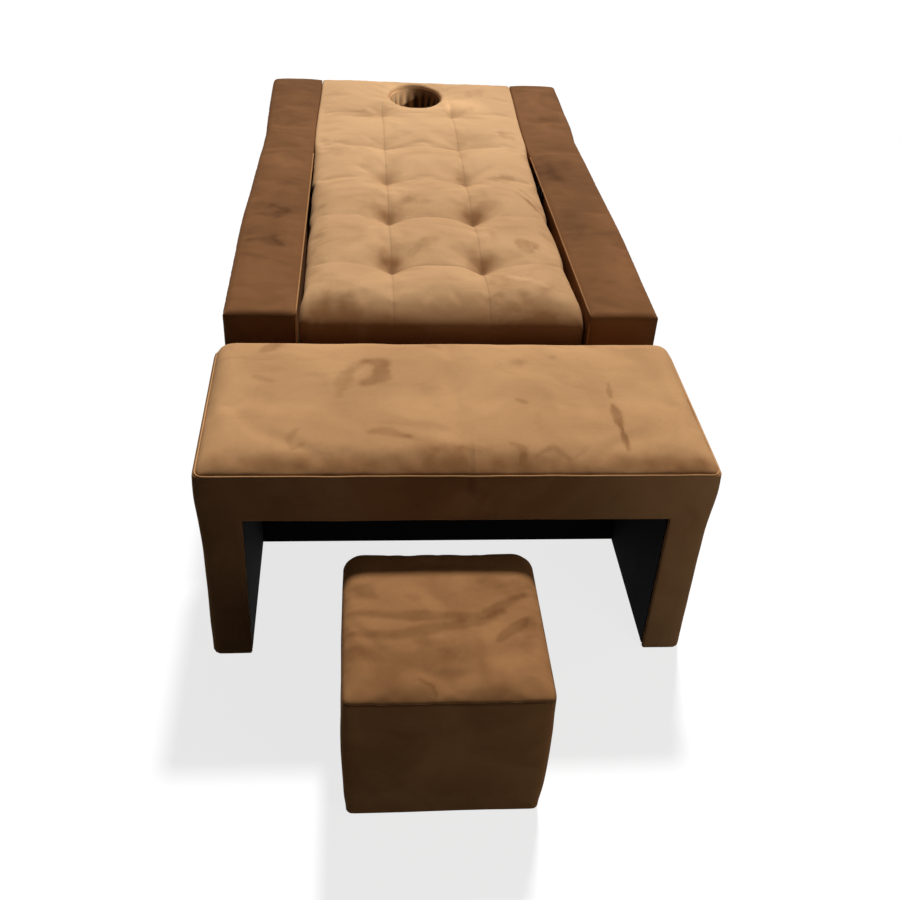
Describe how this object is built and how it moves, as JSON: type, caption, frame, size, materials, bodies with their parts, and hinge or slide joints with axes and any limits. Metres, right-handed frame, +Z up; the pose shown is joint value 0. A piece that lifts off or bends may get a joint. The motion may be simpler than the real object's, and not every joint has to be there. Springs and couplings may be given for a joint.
{
  "type": "foot massage chair",
  "caption": "Low velvet massage recliner laid flat, with tufted pad, face hole and arms that rise with the back, plus a matching arched foot bench and a small cube stool that tucks under it.",
  "frame": {"origin": "on the floor, under the middle of the whole set's box", "axes": "+Y from the stool towards the head end, +X to the right of someone facing the head end, +Z up"},
  "size_m": [0.9, 2.3, 0.475],
  "materials": {
    "tan_velvet": "light tan velvet, brushed nap",
    "brown_velvet": "dark brown velvet, brushed nap",
    "bench_velvet": "tan brown velvet, brushed nap",
    "stool_velvet": "brown velvet, brushed nap",
    "black_lining": "black non-woven lining",
    "plywood": "raw plywood and softwood",
    "steel": "zinc-plated plate",
    "nylon": "black nylon"
  },
  "bodies": {
    "chair": {"side_cover_left": "brown_velvet", "side_cover_right": "brown_velvet", "side_frame_left": "plywood", "side_frame_right": "plywood", "front_cover": "brown_velvet", "front_rail": "plywood", "middle_rail": "plywood", "rear_rail": "plywood", "dust_cover": "black_lining", "seat_deck": "plywood", "seat_pad": "tan_velvet", "chair_runner_left": "nylon", "chair_runner_right": "nylon", "base_hinge_plate_left": "steel", "base_hinge_plate_right": "steel", "friction_washer_left": "nylon", "friction_washer_right": "nylon", "hinge_pin_left": "steel", "hinge_pin_right": "steel"},
    "back": {"back_hinge_plate_left": "steel", "back_hinge_plate_right": "steel", "back_board": "plywood", "back_skin": "black_lining", "back_pad": "tan_velvet", "wing_left": "brown_velvet", "wing_right": "brown_velvet", "face_hole_liner": "tan_velvet"},
    "arm_left": {"arm_pad_left": "brown_velvet", "arm_board_left": "plywood"},
    "arm_right": {"arm_pad_right": "brown_velvet", "arm_board_right": "plywood"},
    "link_left": {"arm_link_left": "steel"},
    "link_right": {"arm_link_right": "steel"},
    "bench": {"bench_pad": "bench_velvet", "bench_deck": "plywood", "bench_front_cover": "bench_velvet", "bench_back_cover": "bench_velvet", "bench_side_cover_left": "bench_velvet", "bench_side_cover_right": "bench_velvet", "bench_side_frame_left": "plywood", "bench_side_frame_right": "plywood", "bench_back_frame": "plywood", "bench_apron_rail": "plywood", "bench_lining_left": "black_lining", "bench_lining_right": "black_lining", "bench_lining_back": "black_lining", "bench_lining_top": "black_lining", "bench_runner_left": "nylon", "bench_runner_right": "nylon"},
    "stool": {"stool_pad": "stool_velvet", "stool_deck": "plywood", "stool_cover": "stool_velvet", "stool_panel_left": "plywood", "stool_panel_right": "plywood", "stool_panel_front": "plywood", "stool_panel_rear": "plywood", "stool_dust_cover": "black_lining", "stool_runner_left": "nylon", "stool_runner_right": "nylon"}
  },
  "joints": [
    {"name": "recline", "type": "hinge", "parent": "chair", "child": "back", "pos_m": [0, 0.378, 0.441], "axis": [1, 0, 0], "range_deg": [0, 70]},
    {"name": "arm_fold_left", "type": "hinge", "parent": "back", "child": "arm_left", "pos_m": [-0.37, 0.607, 0.46], "axis": [1, 0, 0], "range_deg": [-70, 0]},
    {"name": "link_swing_left", "type": "hinge", "parent": "chair", "child": "link_left", "pos_m": [-0.294, -0.185, 0.31], "axis": [1, 0, 0], "range_deg": [0, 70]},
    {"name": "arm_fold_right", "type": "hinge", "parent": "back", "child": "arm_right", "pos_m": [0.37, 0.607, 0.46], "axis": [1, 0, 0], "range_deg": [-70, 0]},
    {"name": "link_swing_right", "type": "hinge", "parent": "chair", "child": "link_right", "pos_m": [0.294, -0.185, 0.31], "axis": [1, 0, 0], "range_deg": [0, 70]},
    {"name": "bench_move", "type": "slide", "parent": "chair", "child": "bench", "axis": [0, -1, 0], "range_m": [0, 0.6]},
    {"name": "stool_move", "type": "slide", "parent": "bench", "child": "stool", "axis": [0, 1, 0], "range_m": [-0.4, 0.33]}
  ],
  "couplings": [
    {"joint": "arm_fold_left", "follows": "recline", "ratio": -1},
    {"joint": "link_swing_left", "follows": "recline", "ratio": 1},
    {"joint": "arm_fold_right", "follows": "recline", "ratio": -1},
    {"joint": "link_swing_right", "follows": "recline", "ratio": 1}
  ]
}
